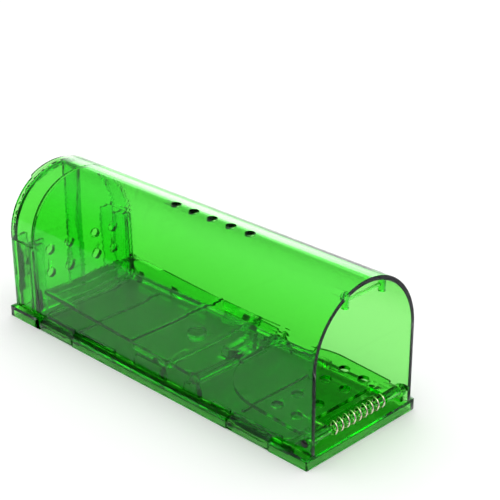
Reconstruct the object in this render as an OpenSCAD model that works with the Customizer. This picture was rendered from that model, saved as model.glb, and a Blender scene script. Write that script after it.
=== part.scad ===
// Live-catch mouse trap: arched tunnel on a tray, spring door in front, bait cap behind.
// Frame: +Z up, tunnel along Y, entrance at -Y, bait end at +Y, origin under the middle of the tray.

/* [Tray] */
// Length of the tray along the tunnel
tray_l = 170; // [160:1:190]
// Width of the tray
tray_w = 58.6; // [57.6:0.2:60]
// Height of the ledge that the cover stands on
rim_h = 4.6; // [4.4:0.2:5]
// Thickness of the floor between the ledges
floor_t = 2.4; // [2:0.2:2.6]
// Thickness of the skirt round the tray
rim_t = 1.3; // [1:0.1:1.4]

/* [Tunnel] */
// Outer width of the arched cover
cover_w = 54.1; // [54:0.1:54.4]
// Wall of the cover
wall = 1.8; // [1.6:0.1:2]
// Height of the arch's centre above the table
arch_z = 36.3; // [36:0.1:38]
// Height of the seam between the cover's sides and the bait cap
seam_z = 35; // [33:0.5:36]
// Number of air holes along the ridge
air_holes = 5; // [1:1:5]
// Distance from one air hole to the next
air_pitch = 10; // [8:0.5:12]
// Radius of an air hole
air_r = 2; // [1.5:0.1:2.5]

/* [Door] */
// Angle that the open door stands above level
door_open_a = 3.5; // [3:0.1:4]
// Radius of the door's arch
door_r = 24.3; // [23.8:0.1:24.4]
// Thickness of the door plate
door_t = 1.6; // [1.4:0.1:1.7]
// Radius of the door's hinge rod
rod_r = 1; // [0.9:0.05:1.1]
// Radius of the holes in the door
door_hole_r = 2.2; // [1.8:0.1:2.4]
// Turns of the torsion spring
spring_turns = 9; // [6:1:10]
// Radius of the spring's wire
wire_r = 0.35; // [0.3:0.05:0.4]

/* [Treadle] */
// Slope of the treadle at rest
treadle_a = 2.7; // [2.5:0.1:2.8]
// Thickness of the treadle plate
treadle_t = 1.5; // [1.3:0.1:1.6]
// Width of the treadle's long plate
treadle_w = 48.4; // [46:0.2:48.4]
// Width of the treadle across its side skirts
skirt_w = 49.6; // [49:0.2:49.6]
// Radius of the treadle's pin
pin_r = 1; // [0.8:0.1:1]

/* [Bait end] */
// Thickness of the bait cap's walls
cap_t = 1.7; // [1.5:0.1:1.8]
// Radius of the holes in the bait screen
screen_hole_r = 2.1; // [1.8:0.1:2.3]

/* [Hidden] */
$fn = 64;
green = [0.2, 0.75, 0.25, 0.6];
e = 0.01;           // a cut runs this far past a face
gap = 0.3;          // clearance between pieces that slide or swing
side_gap = 0.35;    // room between the cover's sides and what stands between them
run_gap = 0.05;     // radial clearance of a turning fit
hl = tray_l / 2;
hw = tray_w / 2;
out_r = cover_w / 2;
in_r = out_r - wall;

// the tray's section: an outer skirt, a ledge on top of it, and a floor sunk between the ledges
skirt_in = hw - rim_t;
ledge_z = 2.6;              // underside of the ledge
floor_hw = 24.3;
floor_y = [-71.9, 67.7];
floor_corner = 6;
step_t = 1.5;               // wall between the ledge and the sunk floor

// door hinge and its ears
rod_y = -hl + 3;
rod_z = 9;
ear_t = 1.6;
ear_x = in_r - side_gap - ear_t;
ear_r = 2.5;
door_face = 2;              // the door's upper face above the hinge axis
door_arch = 27.3;           // hinge to the centre of the door's arch
door_tip = 51;              // hinge to the flat at the tip
knuckle_in = 15.2;
rod_out = 0.6;              // the rod stands out of the walls, into its caps
knuckle_r = 1.75;
notch_s = 6.6;
hole_rows = [12, 21.4];
door_holes_x = [-17.6, -7.2, 7.2, 17.6];
catch_hx = 7.6;             // half the length of the door's catch bar
peg_x = 9.7;
peg_r = 1.4;
peg_y = -hl + 1.5;
peg_z = 55.2;

// torsion spring
coil_r = 2.25;
coil_hx = 13.8;
coil_steps = 14;            // segments in one turn
leg_s = 15;                 // reach of the spring's legs from the hinge
wire_sides = 6;

// treadle: s is the distance behind its pin, h the height above the pin, both along the plate
pin_y = -24.5;
pin_z = 10;
top_h = 2.2;
front_s = -0.6;
rear_s = 90.6;
skirt_s = [15.5, 34.2];
skirt_h = -0.8;
skirt_wall = 1.4;
tube_r = 1.9;
fold_s = 14;
fold_r = 1.3;
step_s = 35.4;
boss_s = 24.5;              // boss under the middle field
boss_r = 3.7;
eye_t = 1.6;
eye_x = in_r - side_gap - eye_t;
eye_r = 1.9;
hook_w = 13.6;
hook_top = 7.2;
hook_nose = 30.65 + pin_y;   // how far the hook reaches in front of the pin

// bait end
end_y = hl - 1.2;
cap_y = 69.4;
screen_y = 69.9;
screen_t = 1.8;
back_y = end_y - 3.4;       // front face of the cap's rear wall
plate_hw = in_r - side_gap;
flange_h = 36.2;
screen_rows = [21, 31];
screen_holes_x = [-16.8, -7, 7, 16.8];
web_t = 1.8;

// snap tabs: the middle of each along Y and their length
tab_ys = [54.8, -55.8];
tab_l = 20.8;
slot_x = floor_hw + step_t + 0.2;   // the slots in the skirt and ledge end here
rail_h = 5.8;
rails = [[43, 65], [21, 42.2], [-44, -34.2], [-69.8, -45.4]];
stop_h = 9.1;
rib_t = 1;
rib_h = 0.8;
cap_r = 1.55;               // pressed caps on the rod's ends
cap_len = 1.1;

module box(x0, x1, y0, y1, z0, z1) {
  translate([x0, y0, z0]) cube([x1 - x0, y1 - y0, z1 - z0]);
}

module both_sides() {
  children();
  mirror([1, 0, 0]) children();
}

// flat arch: straight sides from z0 up to the arch's centre, then a half circle of radius r
module arch_2d(r, z0) {
  translate([-r, z0]) square([2 * r, arch_z - z0]);
  intersection() {
    translate([0, arch_z]) circle(r, $fn = 128);
    translate([-r, z0]) square([2 * r, arch_z + r - z0]);
  }
}

// the same arch as a slab from y0 to y1
module arch_slab(r, z0, y0, y1) {
  translate([0, y1, 0]) rotate([90, 0, 0]) linear_extrude(y1 - y0) arch_2d(r, z0);
}

module rod_x(r, x0, x1) {
  translate([x0, 0, 0]) rotate([0, 90, 0]) cylinder(h = x1 - x0, r = r);
}

// upright plate on the floor: a trapezoid from y0 to y1 at the foot and y2 to y3 at the top
module trapezoid(x0, x1, y0, y1, y2, y3, top) {
  translate([x0, 0, 0]) rotate([90, 0, 90]) linear_extrude(x1 - x0)
    polygon([[y0, floor_t - e], [y1, floor_t - e], [y3, top], [y2, top]]);
}

module tray_shell() {
  difference() {
    box(-hw, hw, -hl, hl, 0, rim_h);
    // sunk floor, with round corners at the entrance
    box(-floor_hw, floor_hw, floor_y[0] + floor_corner, floor_y[1], floor_t, rim_h + e);
    box(floor_corner - floor_hw, floor_hw - floor_corner, floor_y[0], 0, floor_t, rim_h + e);
    for (x = [floor_corner - floor_hw, floor_hw - floor_corner])
      translate([x, floor_y[0] + floor_corner, floor_t]) cylinder(h = rim_h, r = floor_corner);
    // hollow under the ledge
    difference() {
      box(-skirt_in, skirt_in, -hl + rim_t, hl - rim_t, -e, ledge_z);
      box(-floor_hw - step_t, floor_hw + step_t, floor_y[0] - step_t, floor_y[1] + step_t,
          -1, ledge_z + e);
    }
    both_sides() for (y = tab_ys)
      box(slot_x, hw + e, y - tab_l / 2 - gap, y + tab_l / 2 + gap, -e, rim_h + e);
  }
}

module door_ear() {
  difference() {
    union() {
      translate([0, rod_y, rod_z]) rod_x(ear_r, ear_x, ear_x + ear_t);
      box(ear_x, ear_x + ear_t, rod_y - ear_r + 1.2, rod_y + ear_r, rim_h - 1, rod_z);
    }
    translate([0, rod_y, rod_z]) rod_x(rod_r, ear_x - 1, ear_x + ear_t + 1);
  }
}

module pin_bracket() {
  difference() {
    union() {
      trapezoid(eye_x, eye_x + eye_t, pin_y - 4, pin_y + 6, pin_y - 2.5, pin_y + 5, 7.8);
      box(eye_x, eye_x + eye_t, pin_y - eye_r, pin_y + eye_r, 7, pin_z);
      translate([0, pin_y, pin_z]) rod_x(eye_r, eye_x, eye_x + eye_t);
    }
    translate([0, pin_y, pin_z]) rod_x(pin_r + run_gap, eye_x - 1, eye_x + eye_t + 1);
  }
}

module base_tray() {
  color(green) union() {
    tray_shell();
    both_sides() {
      door_ear();
      pin_bracket();
      // stops under the treadle's skirts
      trapezoid(in_r - 2.2, in_r - side_gap, -9, 10.2, -7.2, 8.4, stop_h);
      // rails that the cover's feet snap behind
      for (y = rails) box(in_r - 1.3, in_r - side_gap, y[0], y[1], floor_t - e, rail_h);
    }
    // floor ribs across the tray: half length and place along the tunnel
    for (rib = [[18.6, -44.1], [23, 48.5], [23, 66.9]])
      box(-rib[0], rib[0], rib[1] - rib_t / 2, rib[1] + rib_t / 2, floor_t - e, floor_t + rib_h);
  }
}

// upright guide flange: into the wall below the seam, clear of the bait cap above it
module flange(x0, y0, y1) {
  both_sides() {
    box(x0, in_r + 0.5, y0, y1, rim_h, seam_z);
    box(x0, in_r - gap, y0, y1, rim_h, flange_h);
  }
}

// tab that slopes out from the wall's foot and closes the slot in the skirt
module snap_tab(y) {
  x1 = hw - 0.1;
  translate([0, y + tab_l / 2, 0]) rotate([90, 0, 0]) linear_extrude(tab_l)
    polygon([[slot_x + 0.1, rim_h + 0.4], [out_r - 0.1, rim_h + 0.4], [x1, 3.1], [x1, gap],
             [x1 - 1.2, gap], [x1 - 1.2, 2.4], [slot_x + 0.1, 3.8]]);
}

module tunnel_cover() {
  color(green) difference() {
    union() {
      difference() {
        arch_slab(out_r, rim_h, -hl, end_y);
        arch_slab(in_r, rim_h - 1, -hl - 1, end_y + 1);
        // room for the bait cap above the seam
        box(-out_r - 1, out_r + 1, cap_y - gap, end_y + 1, seam_z, arch_z + out_r + 1);
      }
      intersection() {
        arch_slab(out_r - 0.5, rim_h, -hl, end_y);
        union() {
          // three pairs of upright flanges that guide the bait cap
          flange(21.5, 68, 69.4);
          flange(18.6, 72.3, 73.5);
          flange(19, end_y - 1.4, end_y);
        }
      }
      // pegs that stop the door, and the bar between them
      for (x = [-peg_x, peg_x]) translate([x, peg_y, peg_z])
        cylinder(h = arch_z + sqrt(in_r * in_r - x * x) + 0.6 - peg_z, r = peg_r);
      box(-peg_x, peg_x, peg_y - rib_t / 2, peg_y + rib_t / 2, 57.6, 58.6);
      both_sides() for (y = tab_ys) snap_tab(y);
    }
    // above the seam only the bait cap stands
    box(-out_r - 1, out_r + 1, cap_y - gap, end_y + 1, flange_h, arch_z + out_r + 1);
    translate([0, rod_y, rod_z]) rod_x(rod_r, -out_r - 1, out_r + 1);
    for (i = [0 : air_holes - 1]) translate([0, 11 - i * air_pitch, arch_z])
      cylinder(h = out_r + 1, r = air_r);
  }
}

// everything about the door is drawn lying flat on the hinge, then tipped to its open angle
module on_door_hinge() {
  translate([0, rod_y, rod_z]) rotate([door_open_a, 0, 0]) children();
}

module front_door() {
  color(green) on_door_hinge() difference() {
    union() {
      difference() {
        translate([0, 0, door_face - door_t]) linear_extrude(door_t) union() {
          translate([-door_r, 4.4]) square([2 * door_r, door_arch - 4.4]);
          translate([-ear_x + gap, 0]) square([2 * (ear_x - gap), 6]);
          translate([0, door_arch]) circle(door_r, $fn = 128);
        }
        box(-door_r, door_r, door_tip, door_arch + door_r + 1, -1, door_face + 1);
      }
      for (side = [-1, 1]) {
        x0 = side > 0 ? knuckle_in : -ear_x + gap;
        rod_x(knuckle_r, x0, x0 + ear_x - gap - knuckle_in);
      }
      // raised bar that the treadle's hook holds
      box(-catch_hx, catch_hx, door_tip - 2.2, door_tip, door_face - e, door_face + 0.8);
    }
    box(-knuckle_in, knuckle_in, -3, notch_s, -3, 5);
    rod_x(rod_r + run_gap, -out_r, out_r);
    for (x = door_holes_x, s = hole_rows) translate([x, s, -2]) cylinder(h = 8, r = door_hole_r);
  }
}

module door_rod() {
  color(green) translate([0, rod_y, rod_z]) rod_x(rod_r, -out_r - rod_out, out_r + rod_out);
}

module rod_end_caps() {
  color("dimgray") translate([0, rod_y, rod_z]) for (side = [0, 1]) mirror([side, 0, 0])
    difference() {
      translate([out_r, 0, 0]) rotate([90, 0, 90]) rotate_extrude()
        polygon([[0, 0], [cap_r, 0], [cap_r, 0.4], [1.1, 0.9], [0, cap_len]]);
      rod_x(rod_r, out_r - 1, out_r + rod_out);
    }
}

// centre line of the spring: a leg on the floor, the coil, and a leg under the door
function coil_point(t) = let (a = -90 + t * 360)
  [coil_hx * (1 - 2 * t / spring_turns), coil_r * cos(a), coil_r * sin(a)];
coil_n = spring_turns * coil_steps;
floor_leg = [coil_hx, leg_s - 6, rim_h + wire_r + run_gap - rod_z];
door_leg = [-coil_hx, leg_s, 0.75];
spring_path = concat(
  [floor_leg, [coil_hx, 3, -3]],
  [for (i = [0 : coil_n]) coil_point(i / coil_steps)],
  [[-coil_hx, 3.4, -1.6], door_leg]);

// tube of wire_sides flats round a path: one ring at each point, square to the path there
function unit(v) = v / norm(v);
function tangent(p, i) = unit(p[min(i + 1, len(p) - 1)] - p[max(i - 1, 0)]);
function ring(p, i, r) = let (t = tangent(p, i), u = unit(cross(t, [0.31, 0.12, 1])), v = cross(t, u))
  [for (k = [0 : wire_sides - 1]) p[i] + r * (cos(k * 360 / wire_sides) * u + sin(k * 360 / wire_sides) * v)];

module wire(p, r) {
  n = len(p);
  m = wire_sides;
  polyhedron(
    points = [for (i = [0 : n - 1]) each ring(p, i, r)],
    faces = concat(
      [[for (k = [0 : m - 1]) k]],
      [[for (k = [m - 1 : -1 : 0]) (n - 1) * m + k]],
      [for (i = [0 : n - 2], k = [0 : m - 1]) let (a = i * m + k, b = i * m + (k + 1) % m) [a, a + m, b]],
      [for (i = [0 : n - 2], k = [0 : m - 1]) let (a = i * m + k, b = i * m + (k + 1) % m) [b, a + m, b + m]]));
}

module door_spring() {
  color("gainsboro") translate([0, rod_y, rod_z]) wire(spring_path, wire_r);
}

// the treadle is drawn level with its pin at the origin, then tipped to its slope at rest
module on_treadle_pin() {
  translate([0, pin_y, pin_z]) rotate([treadle_a, 0, 0]) children();
}

module hook() {
  difference() {
    union() {
      translate([-hook_w / 2, 0, 0]) rotate([90, 0, 90]) linear_extrude(hook_w)
        polygon([[-0.6, 1], [4.4, 1], [3.4, hook_top - 0.9], [2.4, hook_top], [-2.6, hook_top - 1],
                 [-hook_nose, 5.4], [-hook_nose, 4.3], [-0.6, 4.3]]);
    }
    // the hook is hollow behind its nose
    box(-hook_w / 2 + 1.4, hook_w / 2 - 1.4, 0.6, 5, top_h, hook_top - 1.9);
  }
}

module treadle() {
  half = treadle_w / 2;
  color(green) on_treadle_pin() difference() {
    union() {
      box(-half, half, front_s, rear_s, top_h - treadle_t, top_h);
      box(-skirt_w / 2, skirt_w / 2, skirt_s[0], skirt_s[1], top_h - treadle_t, top_h);
      both_sides() box(skirt_w / 2 - skirt_wall, skirt_w / 2, skirt_s[0], skirt_s[1], skirt_h, top_h);
      rod_x(tube_r, -eye_x + gap, eye_x - gap);
      box(-eye_x + gap, eye_x - gap, front_s - 0.6, 1.4, 0.6, top_h);
      // ribs where the three fields of the plate meet
      translate([0, fold_s, top_h - 0.8]) rod_x(fold_r, -half, half);
      translate([0, fold_s, top_h - 1.2]) rod_x(1.7, -half, -half + 2);
      translate([0, fold_s, top_h - 1.2]) rod_x(1.7, half - 2, half);
      translate([0, step_s, top_h - 0.3]) rod_x(1, -half, half);
      translate([0, boss_s, -2.2]) cylinder(h = 3.4, r = boss_r);
      hook();
    }
    // corners that clear the pin's eyes
    both_sides() box(eye_x - gap, half + 1, -5, 3.2, -3, top_h + 1);
    rod_x(pin_r, -out_r, out_r);
  }
}

module treadle_pin() {
  color(green) translate([0, pin_y, pin_z]) rod_x(pin_r, -in_r + 0.15, in_r - 0.15);
}

module bait_cap() {
  color(green) union() {
    difference() {
      union() {
        // top shell
        difference() {
          arch_slab(out_r, seam_z + gap, cap_y, end_y);
          arch_slab(in_r, 0, cap_y - 1, end_y + 1);
        }
        // rear wall: narrow down to the floor, joined to the shell round the top
        arch_slab(plate_hw, rim_h + gap, back_y, back_y + cap_t);
        arch_slab(in_r + 0.5, seam_z + gap, back_y, back_y + cap_t);
        // finger lip round the top of the rear edge
        intersection() {
          difference() {
            arch_slab(out_r, arch_z - 1, end_y - e, hl);
            arch_slab(out_r - 1.4, 0, end_y - 1, hl + 1);
          }
          box(-14, 14, end_y - 1, hl + 1, arch_z, arch_z + out_r + 1);
        }
      }
    }
    // web between the rear wall and the screen
    box(-web_t / 2, web_t / 2, screen_y + screen_t, back_y + e, 8, arch_z + in_r + 0.5);
  }
}

module bait_screen() {
  color(green) difference() {
    arch_slab(plate_hw, rim_h + gap, screen_y, screen_y + screen_t);
    for (x = screen_holes_x, z = screen_rows) translate([x, screen_y - 1, z]) rotate([-90, 0, 0])
      cylinder(h = screen_t + 2, r = screen_hole_r);
  }
}

base_tray();
tunnel_cover();
front_door();
door_rod();
rod_end_caps();
door_spring();
treadle();
treadle_pin();
bait_cap();
bait_screen();
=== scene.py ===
# %% [markdown]
# # A live-catch mouse trap in clear green plastic
# The real object is a tunnel that a mouse walks into. An arched cover snaps on a flat tray, a sprung door
# lies open in the entrance, and a treadle behind it holds the door down by a hook. A cap with a bait chamber
# slides into the far end. Nearly every part is moulded from the same see-through green plastic, so this
# lesson is about one thing above all: how a clear, coloured wall looks, and why its cut edges look almost
# black.
#
# The mechanical model is loaded first. It gives the frame that every piece below sits in, in metres.

import math

import bmesh
import bpy
import numpy as np
from mathutils import Matrix, Vector


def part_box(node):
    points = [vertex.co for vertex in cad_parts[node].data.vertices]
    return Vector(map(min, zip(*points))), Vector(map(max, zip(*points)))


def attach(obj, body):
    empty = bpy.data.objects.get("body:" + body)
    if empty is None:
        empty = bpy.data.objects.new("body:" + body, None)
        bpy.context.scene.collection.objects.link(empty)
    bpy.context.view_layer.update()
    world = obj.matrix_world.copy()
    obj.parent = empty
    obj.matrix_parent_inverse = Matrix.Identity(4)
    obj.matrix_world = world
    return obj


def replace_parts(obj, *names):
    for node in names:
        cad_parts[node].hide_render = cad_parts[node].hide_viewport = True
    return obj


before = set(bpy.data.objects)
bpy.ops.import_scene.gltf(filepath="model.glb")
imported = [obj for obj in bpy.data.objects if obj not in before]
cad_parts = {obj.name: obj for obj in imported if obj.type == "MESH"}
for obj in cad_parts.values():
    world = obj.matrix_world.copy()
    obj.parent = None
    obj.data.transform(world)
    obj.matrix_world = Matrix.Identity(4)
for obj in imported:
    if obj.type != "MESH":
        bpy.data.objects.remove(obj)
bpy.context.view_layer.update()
scene = bpy.context.scene
MM = 0.001
print("CAD nodes:", sorted(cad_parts))

# %% [markdown]
# ## Places that several pieces share
# The hinge rod, the treadle's pin and the rod's caps are measured on the mechanical model, so that a piece
# made here lands where its bearing is. A box gives the lowest and the highest corner of a node.


# %% Measure the bearings
def middle(node):
    """The middle of a node's box."""
    low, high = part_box(node)
    return (low + high) / 2


hinge = middle("door_rod")
hinge_low, hinge_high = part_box("door_rod")
rod_r = (hinge_high.z - hinge_low.z) / 2
pin = middle("treadle_pin")
pin_low, pin_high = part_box("treadle_pin")
pin_r = (pin_high.z - pin_low.z) / 2
cap_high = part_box("rod_end_caps")[1]
print("hinge at", [round(v / MM, 2) for v in hinge], "rod radius", round(rod_r / MM, 2))
print("pin at", [round(v / MM, 2) for v in pin], "pin radius", round(pin_r / MM, 2))

# %% [markdown]
# ## Shader arithmetic
# A finish is a small sum: a noise here, a factor there. Adding the Math nodes by hand hides that sum, so this
# class wraps a socket and lets Python's own operators add them. Any other node comes from `node`, which sets
# the node's settings first and then the value or the link of each input.


# %% A socket that can be used in sums
class Shade:
    """One output of a node tree. + and * add a Math node each, with the Shade on either side."""

    def __init__(self, tree, socket=None):
        self.tree = tree
        self.socket = socket

    def node(self, kind, settings=None, inputs=None, output=0):
        """Adds a node, sets it up, and hands back one of its outputs."""
        made = self.tree.nodes.new(kind)
        for name, value in (settings or {}).items():
            setattr(made, name, value)
        for name, value in (inputs or {}).items():
            if isinstance(value, Shade):
                self.tree.links.new(value.socket, made.inputs[name])
            else:
                made.inputs[name].default_value = value
        return Shade(self.tree, made.outputs[output]) if made.outputs else None

    def math(self, operation, first, second):
        """One Math node; first and second are Shades or numbers."""
        return self.node("ShaderNodeMath", {"operation": operation}, {0: first, 1: second})

    def __add__(self, other):
        return self.math("ADD", self, other)

    def __mul__(self, other):
        return self.math("MULTIPLY", self, other)

    def __radd__(self, other):
        return self.math("ADD", other, self)

    def __rmul__(self, other):
        return self.math("MULTIPLY", other, self)


def new_material(name):
    """An empty material and the Shade that builds in its tree."""
    material = bpy.data.materials.new(name)
    material.use_nodes = True
    material.node_tree.nodes.clear()
    return material, Shade(material.node_tree)


def noise(build, scale, detail):
    """Soft noise in Object coordinates; scale is in waves per metre."""
    place = build.node("ShaderNodeTexCoord", output="Object")
    return build.node("ShaderNodeTexNoise", None, {"Vector": place, "Scale": scale, "Detail": detail}, "Fac")


def two_tone(build, share, colour_a, colour_b):
    """Two colours mixed by a share: (1 - share) colour_a + share colour_b."""
    return build.node("ShaderNodeMix", {"data_type": "RGBA"}, {"Factor": share, 6: colour_a, 7: colour_b}, 2)


print("a Shade can be added and multiplied, and any other node comes from Shade.node")

# %% [markdown]
# ## Clear green plastic
# Dyed polystyrene takes light away along the whole path through it, and not at its surface. A surface colour
# can't show that: the wall would look the same face on and edge on. So the surface here is colourless glass
# and the dye is a volume that absorbs. A thin wall seen face on stays bright, two walls look deeper, and
# light that enters at a cut edge runs along the wall and never comes out, which is why the rims turn nearly
# black. A ray crosses a dozen faces on its way, and the glare of each would add up to a grey veil, so a tint
# holds the glare down.

# %% The plastic
DYE_DENSITY = 770.0
DYE_COLOUR = (0.22, 0.922, 0.05, 1.0)
GLARE_TINT = (0.2, 0.25, 0.3, 1.0)
HAZE = 0.012
HAZE_LEAST = 0.4
WAVE_BUMP = 0.3 * MM


def clear_plastic(name):
    """Smooth moulded plastic: clear, faintly wavy, with a trace of handling in its gloss."""
    material, build = new_material(name)
    smear = noise(build, scale=60.0, detail=3.0)
    waves = noise(build, scale=35.0, detail=1.0)
    bump = build.node("ShaderNodeBump", None, {"Height": waves, "Strength": 0.03, "Distance": WAVE_BUMP})
    surface = build.node(
        "ShaderNodeBsdfPrincipled",
        None,
        {
            "Base Color": (1.0, 1.0, 1.0, 1.0),
            "Roughness": HAZE * (HAZE_LEAST + smear),
            "IOR": 1.5,
            "Transmission Weight": 1.0,
            "Specular Tint": GLARE_TINT,
            "Normal": bump,
        },
    )
    dye = build.node("ShaderNodeVolumeAbsorption", None, {"Color": DYE_COLOUR, "Density": DYE_DENSITY})
    build.node("ShaderNodeOutputMaterial", None, {"Surface": surface, "Volume": dye})
    return material


plastic_slots = ["green_" + part for part in ("tray", "cover", "door", "treadle", "cap", "screen", "rod")]
plastics = {slot: clear_plastic(slot + "_clear") for slot in plastic_slots}
print("plastics:", sorted(plastics))

# %% [markdown]
# ## Steel
# The spring is drawn wire. Drawing leaves fine lines along the wire, so the roughness varies quickly round
# it, and the spring picks up a warm tint from its oil. The caps on the rod's ends are given the same finish,
# made nearly black.
# Both are one finish with other numbers, so one function makes them.

# %% The metals
STREAK_BUMP = 0.02 * MM
STREAK_LEAST = 0.6


def wire_steel(name, colour, tint, roughness):
    """Drawn steel wire: bright, with fine streaks in its gloss and a slight change of tint."""
    material, build = new_material(name)
    streak = noise(build, scale=2500.0, detail=3.0)
    patch = noise(build, scale=300.0, detail=2.0)
    oiled = two_tone(build, patch, colour, tint)
    bump = build.node("ShaderNodeBump", None, {"Height": streak, "Strength": 0.2, "Distance": STREAK_BUMP})
    surface = build.node(
        "ShaderNodeBsdfPrincipled",
        None,
        {
            "Base Color": oiled,
            "Metallic": 1.0,
            "Roughness": roughness * (STREAK_LEAST + streak),
            "Normal": bump,
        },
    )
    build.node("ShaderNodeOutputMaterial", None, {"Surface": surface})
    return material


spring_steel = wire_steel("spring_steel_oiled", (0.86, 0.84, 0.80, 1.0), (0.74, 0.60, 0.38, 1.0), 0.16)
dark_steel = wire_steel("dark_steel_capped", (0.05, 0.05, 0.05, 1.0), (0.02, 0.02, 0.02, 1.0), 0.14)
print("metals:", spring_steel.name, dark_steel.name)

# %% [markdown]
# ## Skins that can be rounded
# The mechanical nodes are exact but sharp, and they are stored as loose triangles. A copy is welded into one
# skin and its flat faces are joined up. Then it is sliced at a regular spacing: a face that runs round a
# hole, or a sliver that runs the length of a wall, can fold over itself when its edges are rounded, and a
# small face can't. Remeshing to voxels would also give small faces, but it would blunt every corner.

# %% Weld and slice a node
WELD = 0.004 * MM
SLIVER = WELD / 10
FLAT = math.radians(0.4)
SLICE = 5.3 * MM
FIRST_SLICE = 0.41 * SLICE
ARCH_FOOT = 36 * MM


def triangulate(skin):
    """Cuts every face into the best-shaped triangles."""
    bmesh.ops.triangulate(skin, faces=skin.faces, quad_method="BEAUTY", ngon_method="BEAUTY")


def welded(node, arched, nudge):
    """The node's triangles as one closed skin, with its faces sliced small, moved by nudge."""
    skin = bmesh.new()
    skin.from_mesh(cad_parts[node].data)
    bmesh.ops.remove_doubles(skin, verts=skin.verts, dist=WELD)
    bmesh.ops.dissolve_degenerate(skin, edges=skin.edges, dist=WELD)
    bmesh.ops.dissolve_limit(skin, angle_limit=FLAT, verts=skin.verts, edges=skin.edges)
    if arched:
        triangulate(skin)
    low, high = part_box(node)
    # a level or upright cut along the curve would ripple its shading, so an arch is cut straight across the
    # tunnel, and by level planes only up to the foot of its curve
    top = Vector((high.x, high.y, min(high.z, ARCH_FOOT) if arched else high.z))
    for axis in (1, 2) if arched else (0, 1, 2):
        normal = Vector([float(k == axis) for k in range(3)])
        for cut in np.arange(low[axis] + FIRST_SLICE, top[axis], SLICE):
            everything = skin.verts[:] + skin.edges[:] + skin.faces[:]
            bmesh.ops.bisect_plane(skin, geom=everything, dist=WELD, plane_co=normal * cut, plane_no=normal)
    bmesh.ops.remove_doubles(skin, verts=skin.verts, dist=WELD)
    triangulate(skin)
    bmesh.ops.dissolve_degenerate(skin, edges=skin.edges, dist=SLIVER)
    for vert in skin.verts:
        vert.co += Vector(nudge)
    return skin


print("slices every", round(SLICE / MM, 1), "mm")

# %% [markdown]
# ## Moulded shells with soft edges
# No mould leaves a perfectly sharp edge, and on clear plastic the small radius matters more than anywhere
# else: it bends the light and draws the thin bright line beside each dark rim. A Bevel modifier rounds what
# is sharp and leaves the mesh itself open to change. Two clear pieces that touch need a hair of air between
# them, or the light would pass from one into the other as if they were glued, so the cover and the screen
# are moved by that hair.

# %% The moulded parts
AIR = 0.02 * MM
EDGE_R = 0.12 * MM
SHARP = math.radians(32)


def add_mesh(name, mesh, material, body):
    """Puts a finished mesh in the scene, riding on a body, with its material."""
    piece = bpy.data.objects.new(name, mesh)
    scene.collection.objects.link(piece)
    mesh.materials.clear()
    mesh.materials.append(material)
    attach(piece, body)
    return piece


def rounded_shell(node, name, body, slot, arched=False, nudge=(0, 0, 0)):
    """A rounded copy of a moulded node, standing for it."""
    skin = welded(node, arched, nudge)
    mesh = bpy.data.meshes.new(name)
    skin.to_mesh(mesh)
    open_edges = sum(not edge.is_manifold for edge in skin.edges)
    skin.free()
    mesh.shade_smooth()
    mesh.set_sharp_from_angle(angle=SHARP)
    piece = add_mesh(name, mesh, plastics[slot], body)
    bevel = piece.modifiers.new("soft_edges", "BEVEL")
    bevel.width = EDGE_R
    bevel.segments = 2
    bevel.limit_method = "ANGLE"
    bevel.angle_limit = SHARP
    bevel.use_clamp_overlap = False
    bevel.harden_normals = True
    bevel.loop_slide = not arched
    bevel.miter_outer = "MITER_ARC"
    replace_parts(piece, node)
    print(name, "faces", len(mesh.polygons), "open edges", open_edges)


rounded_shell("base_tray", "tray_moulding", "tray", "green_tray")
rounded_shell("tunnel_cover", "arched_cover", "tray", "green_cover", True, (0, 0, AIR))
rounded_shell("front_door", "door_plate", "door", "green_door")
rounded_shell("treadle", "treadle_plate", "treadle", "green_treadle")
rounded_shell("bait_cap", "bait_cap_shell", "cap", "green_cap", True)
rounded_shell("bait_screen", "bait_screen_plate", "cap", "green_screen", True, (0, -AIR, 0))

# %% [markdown]
# ## Turned pieces
# The rod, the pin and the caps on the rod's ends are round about a line along X. A cylinder with a Bevel
# would do for a bar, but not for a dome with a hole, so all of them are one function: a profile of points
# (distance along the line, radius) turned about it. All rings are worked out at once with numpy. The rod and
# the pin are thinner than their bearings by the same hair of air.


# %% A profile turned about an axis
def ring_quads(rings, sides):
    """Faces between neighbouring rings: (i, j), (i, j+1), (i+1, j+1), (i+1, j), with j counted round."""
    i, j = np.meshgrid(np.arange(rings - 1), np.arange(sides), indexing="ij")
    k = (j + 1) % sides
    quads = np.stack([i * sides + j, i * sides + k, (i + 1) * sides + k, (i + 1) * sides + j], -1)
    return quads.reshape(-1, 4).tolist()


def surface_mesh(name, points, faces):
    """A mesh from arrays of points and faces, smooth, with its faces turned outwards."""
    mesh = bpy.data.meshes.new(name)
    mesh.from_pydata(points.tolist(), [], faces)
    skin = bmesh.new()
    skin.from_mesh(mesh)
    bmesh.ops.recalc_face_normals(skin, faces=skin.faces)
    skin.to_mesh(mesh)
    skin.free()
    mesh.shade_smooth()
    mesh.set_sharp_from_angle(angle=SHARP)
    print(name, "points", len(points), "faces", len(faces))
    return mesh


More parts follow.
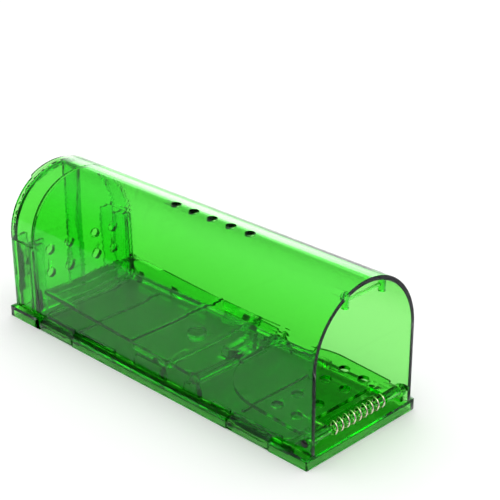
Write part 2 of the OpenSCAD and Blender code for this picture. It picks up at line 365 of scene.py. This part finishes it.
def turned(name, profile, centre, sides=40):
    """Surface of revolution about a line through centre along X.

    Point (i, j) is centre + (a_i, r_i cos t_j, r_i sin t_j), with (a_i, r_i) the profile's points and t_j the
    angle round the axis. The profile starts and ends on the axis, where each ring shrinks to one point.
    """
    along, radius = np.array(profile, float).T
    turn = np.linspace(0, 2 * math.pi, sides, endpoint=False)
    rings = np.stack(
        [
            np.repeat(along[1:-1, None], sides, 1),
            radius[1:-1, None] * np.cos(turn),
            radius[1:-1, None] * np.sin(turn),
        ],
        axis=-1,
    ).reshape(-1, 3)
    poles = np.array([[along[0], 0, 0], [along[-1], 0, 0]])
    points = np.vstack([rings, poles]) + np.array(centre)
    ring_count = len(along) - 2
    j = np.arange(sides)
    k = (j + 1) % sides
    first = np.stack([np.full(sides, ring_count * sides), k, j], -1)
    base = (ring_count - 1) * sides
    last = np.stack([np.full(sides, ring_count * sides + 1), base + j, base + k], -1)
    return surface_mesh(name, points, ring_quads(ring_count, sides) + first.tolist() + last.tolist())


# %% [markdown]
# ## The hinge rod and the treadle's pin
# Both are plain bars of the same green plastic, with their ends rounded off so that they slide into their
# bearings. The profile is a straight side between two quarter circles.

# %% Rod and pin
BAR_ROUND = 0.25 * MM


def arc(along, out, radius, start, stop, count=6):
    """Points of an arc in the profile's plane: (along, out) + radius (cos t, sin t), t from start to stop."""
    angle = np.radians(np.linspace(start, stop, count))
    return [(along + radius * math.cos(t), out + radius * math.sin(t)) for t in angle]


def bar_profile(length, radius):
    """A bar with rounded ends, centred on the axis."""
    half = length / 2
    left = arc(-half + BAR_ROUND, radius - BAR_ROUND, BAR_ROUND, 180, 90)
    right = arc(half - BAR_ROUND, radius - BAR_ROUND, BAR_ROUND, 90, 0)
    return [(-half, 0)] + left + right + [(half, 0)]


rod_length = hinge_high.x - hinge_low.x
rod_mesh = turned("hinge_rod", bar_profile(rod_length, rod_r - AIR), hinge)
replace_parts(add_mesh("hinge_rod", rod_mesh, plastics["green_rod"], "tray"), "door_rod")
pin_length = pin_high.x - pin_low.x
pin_mesh = turned("treadle_pivot", bar_profile(pin_length, pin_r - AIR), pin)
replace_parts(add_mesh("treadle_pivot", pin_mesh, plastics["green_rod"], "treadle"), "treadle_pin")

# %% [markdown]
# ## Caps on the rod's ends
# A small pressed cap keeps the rod from sliding out at each side. It is a shallow dome with a hole for the
# rod, so its profile runs from the bottom of that hole out along its foot and back over the dome.

# %% Rod end caps
CAP_R = 1.55 * MM
CAP_SIDE = 0.3 * MM
CAP_DOME = 1.1 * MM
CAP_CHAMFER = 0.15 * MM
cap_foot = cap_high.x - CAP_DOME
hole_end = hinge_high.x - cap_foot + AIR


def cap_profile(side):
    """The cap's profile on one side of the trap; side is 1 or -1."""
    hole = [(hole_end, 0), (hole_end, rod_r), (AIR, rod_r)]
    foot = [(AIR, CAP_R - CAP_CHAMFER), (CAP_CHAMFER, CAP_R)]
    squeeze = (CAP_DOME - CAP_SIDE) / CAP_R
    dome = [(CAP_SIDE + a * squeeze, r) for a, r in arc(0, 0, CAP_R, 90, 0, 10)]
    return [(side * a, r) for a, r in hole + foot + dome]


caps = []
for name, side in (("rod_cap_right", 1), ("rod_cap_left", -1)):
    cap_mesh = turned(name, cap_profile(side), (side * cap_foot, hinge.y, hinge.z))
    caps.append(add_mesh(name, cap_mesh, dark_steel, "tray"))
for cap in caps:
    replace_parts(cap, "rod_end_caps")

# %% [markdown]
# ## The torsion spring
# The spring is one wire: a leg that presses on the tray, nine turns round the rod, and a leg under the door.
# A curve object with a round bevel could draw it, but a tube worked out here keeps its ends closed and its
# rings from twisting. A ring of points stands square to the path at every step. The X axis serves as the
# reference direction of every ring, since no stretch of the wire runs along it.


# %% A tube along a path
def tube_along(name, path, radius, sides=12):
    """A closed tube: point (i, j) is p_i + radius (u_i cos t_j + v_i sin t_j), with u_i and v_i square to
    the path and to each other."""
    along = np.gradient(path, axis=0)
    along /= np.linalg.norm(along, axis=1, keepdims=True)
    across = np.array([1.0, 0, 0]) - along[:, :1] * along
    across /= np.linalg.norm(across, axis=1, keepdims=True)
    upright = np.cross(along, across)
    turn = np.linspace(0, 2 * math.pi, sides, endpoint=False)
    ring = across[:, None] * np.cos(turn)[None, :, None] + upright[:, None] * np.sin(turn)[None, :, None]
    points = (path[:, None] + radius * ring).reshape(-1, 3)
    last = (len(path) - 1) * sides
    ends = [list(range(sides)), list(range(last, last + sides))]
    return surface_mesh(name, points, ring_quads(len(path), sides) + ends)


def leg(start, pull, end, count=14):
    """A curve from start to end that sets out towards pull: (1-t)^2 start + 2t(1-t) pull + t^2 end."""
    t = np.linspace(0, 1, count)[:, None]
    return (1 - t) ** 2 * np.array(start) + 2 * t * (1 - t) * np.array(pull) + t**2 * np.array(end)


# %% The spring
TURNS = 9
STEPS = 32
COIL_R = 2.25 * MM
COIL_HALF = 13.8 * MM
WIRE_R = 0.36 * MM
FLOOR_SIDE = 55
DOOR_SIDE = -90

# the wire leaves the coil where it points at the floor, and at the far end where it points at the door
turn_angle = np.radians(np.linspace(FLOOR_SIDE, TURNS * 360 + DOOR_SIDE, TURNS * STEPS))
share = (turn_angle - turn_angle[0]) / (turn_angle[-1] - turn_angle[0])
coil = np.stack(
    [COIL_HALF * (1 - 2 * share), COIL_R * np.cos(turn_angle), COIL_R * np.sin(turn_angle)], axis=-1
)
floor_end = (COIL_HALF, 9 * MM, -4.0 * MM)
floor_pull = (COIL_HALF, 4.2 * MM, -0.2 * MM)
door_end = (-COIL_HALF, 15 * MM, 0.75 * MM)
door_pull = (-COIL_HALF, 4.5 * MM, -2.1 * MM)
floor_leg = leg(floor_end, floor_pull, coil[0])[:-1]
door_leg = leg(coil[-1], door_pull, door_end)[1:]
spring_path = np.vstack([floor_leg, coil, door_leg]) + np.array(hinge)
spring_mesh = tube_along("torsion_spring", spring_path, WIRE_R)
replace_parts(add_mesh("torsion_spring", spring_mesh, spring_steel, "tray"), "door_spring")

# %% [markdown]
# ## Floor
# A clear object is lit by what stands behind it and drawn by what stands in front. Most of what shows
# through these walls is the floor, so it is a plain sheet, nearly white and quite matt, with no mark that
# would be seen through the plastic. It lies a hair below the tray, so that air stays between them.

# %% The floor
FLOOR_REACH = 6.0
FLOOR_LEVEL = -0.05 * MM

floor_mesh = bpy.data.meshes.new("studio_floor")
corner_signs = ((-1, -1), (1, -1), (1, 1), (-1, 1))
floor_corners = [(side * FLOOR_REACH, end * FLOOR_REACH, FLOOR_LEVEL) for side, end in corner_signs]
floor_mesh.from_pydata(floor_corners, [], [(0, 1, 2, 3)])
floor = bpy.data.objects.new("studio_floor", floor_mesh)
scene.collection.objects.link(floor)
floor_paint, build = new_material("pale_floor")
grain = noise(build, scale=8.0, detail=2.0)
paper = two_tone(build, grain, (0.95, 0.95, 0.95, 1.0), (0.93, 0.93, 0.93, 1.0))
matt = build.node("ShaderNodeBsdfPrincipled", None,
                  {"Base Color": paper, "Roughness": 0.9, "Specular IOR Level": 0.1})
build.node("ShaderNodeOutputMaterial", None, {"Surface": matt})
floor_mesh.materials.append(floor_paint)
print("floor at", round(FLOOR_LEVEL / MM, 2), "mm")

# %% [markdown]
# ## Sky
# The sky is bright only overhead and low behind the trap; towards the camera it is dim. A wall then shows
# the floor through it, while a cut edge, which sends the eye's ray back into the dim half of the room, turns
# dark. Lamps could do this, but a clear wall would mirror each as a hard patch, and a smooth sky leaves none.
# It is a sum of three terms of the direction d = (x, y, z): a dim base, a key z^n overhead, and a glow
# (d . g)^m round a low direction g behind, cut down above the height at which level faces would mirror it.

# %% The sky
SKY_BASE = 0.18
SKY_KEY = 2.85
KEY_POWER = 4.0
SKY_GLOW = 4.0
GLOW_POWER = 40.0
GLOW_AT = Vector((0.72, 0.66, 0.2)).normalized()
GLOW_CUT = {"From Min": 0.27, "From Max": 0.42, "To Min": 1.0, "To Max": 0.12}

sky = bpy.data.worlds.new("soft_sky")
scene.world = sky
sky.use_nodes = True
sky.node_tree.nodes.clear()
build = Shade(sky.node_tree)
ray = build.node("ShaderNodeTexCoord", output="Generated")
x, y, z = [build.node("ShaderNodeSeparateXYZ", None, {0: ray}, axis) for axis in range(3)]
up = build.math("MAXIMUM", z, 0.0)
key = build.math("POWER", up, KEY_POWER)
towards_glow = x * GLOW_AT.x + y * GLOW_AT.y + z * GLOW_AT.z
glow = build.math("POWER", build.math("MAXIMUM", towards_glow, 0.0), GLOW_POWER)
ceiling = build.node("ShaderNodeMapRange", {"interpolation_type": "SMOOTHSTEP"}, {"Value": z, **GLOW_CUT})
strength = SKY_BASE + SKY_KEY * key + SKY_GLOW * glow * ceiling
light = build.node("ShaderNodeBackground", None, {"Color": (1.0, 1.0, 1.0, 1.0), "Strength": strength})
build.node("ShaderNodeOutputWorld", None, {"Surface": light})
print("sky: base", SKY_BASE, "key", SKY_KEY, "glow", SKY_GLOW)

# %% [markdown]
# ## Camera
# A long lens from a little above looks along the trap from its entrance, so that both the open end and the
# length of the tunnel show. The camera is turned about Z first, then tipped down from level, then rolled.

# %% Camera
azimuth = math.radians(-45.15)
elevation = math.radians(24.18)
roll = math.radians(-0.23)
camera_data = bpy.data.cameras.new("camera")
camera_data.lens = 96.73
camera_data.sensor_width = 36.0
camera_data.shift_x = -0.0026
camera_data.shift_y = -0.0002
camera = bpy.data.objects.new("camera", camera_data)
camera.location = Vector((-318.48, -346.35, 258.41)) * MM
turns = (Matrix.Rotation(azimuth, 3, "Z") @ Matrix.Rotation(math.pi / 2 - elevation, 3, "X")
         @ Matrix.Rotation(roll, 3, "Z"))
camera.rotation_euler = turns.to_euler()
scene.collection.objects.link(camera)
scene.camera = camera
print("camera at", [round(v / MM) for v in camera.location], "mm, lens", round(camera_data.lens, 1), "mm")

# %% [markdown]
# ## Light paths
# A ray that looks through the tunnel crosses many walls, and each wall has two faces. The path limits have
# to be well above that count, or the deepest parts turn black for no physical reason. The view is left
# plain, so that no film curve greys the white floor.

# %% Light paths and colour
scene.cycles.max_bounces = 40
scene.cycles.transmission_bounces = 36
scene.cycles.glossy_bounces = 12
scene.cycles.diffuse_bounces = 4
scene.cycles.transparent_max_bounces = 32
scene.view_settings.view_transform = "Standard"
scene.view_settings.look = "None"
print("a ray may meet", scene.cycles.transmission_bounces, "clear faces")
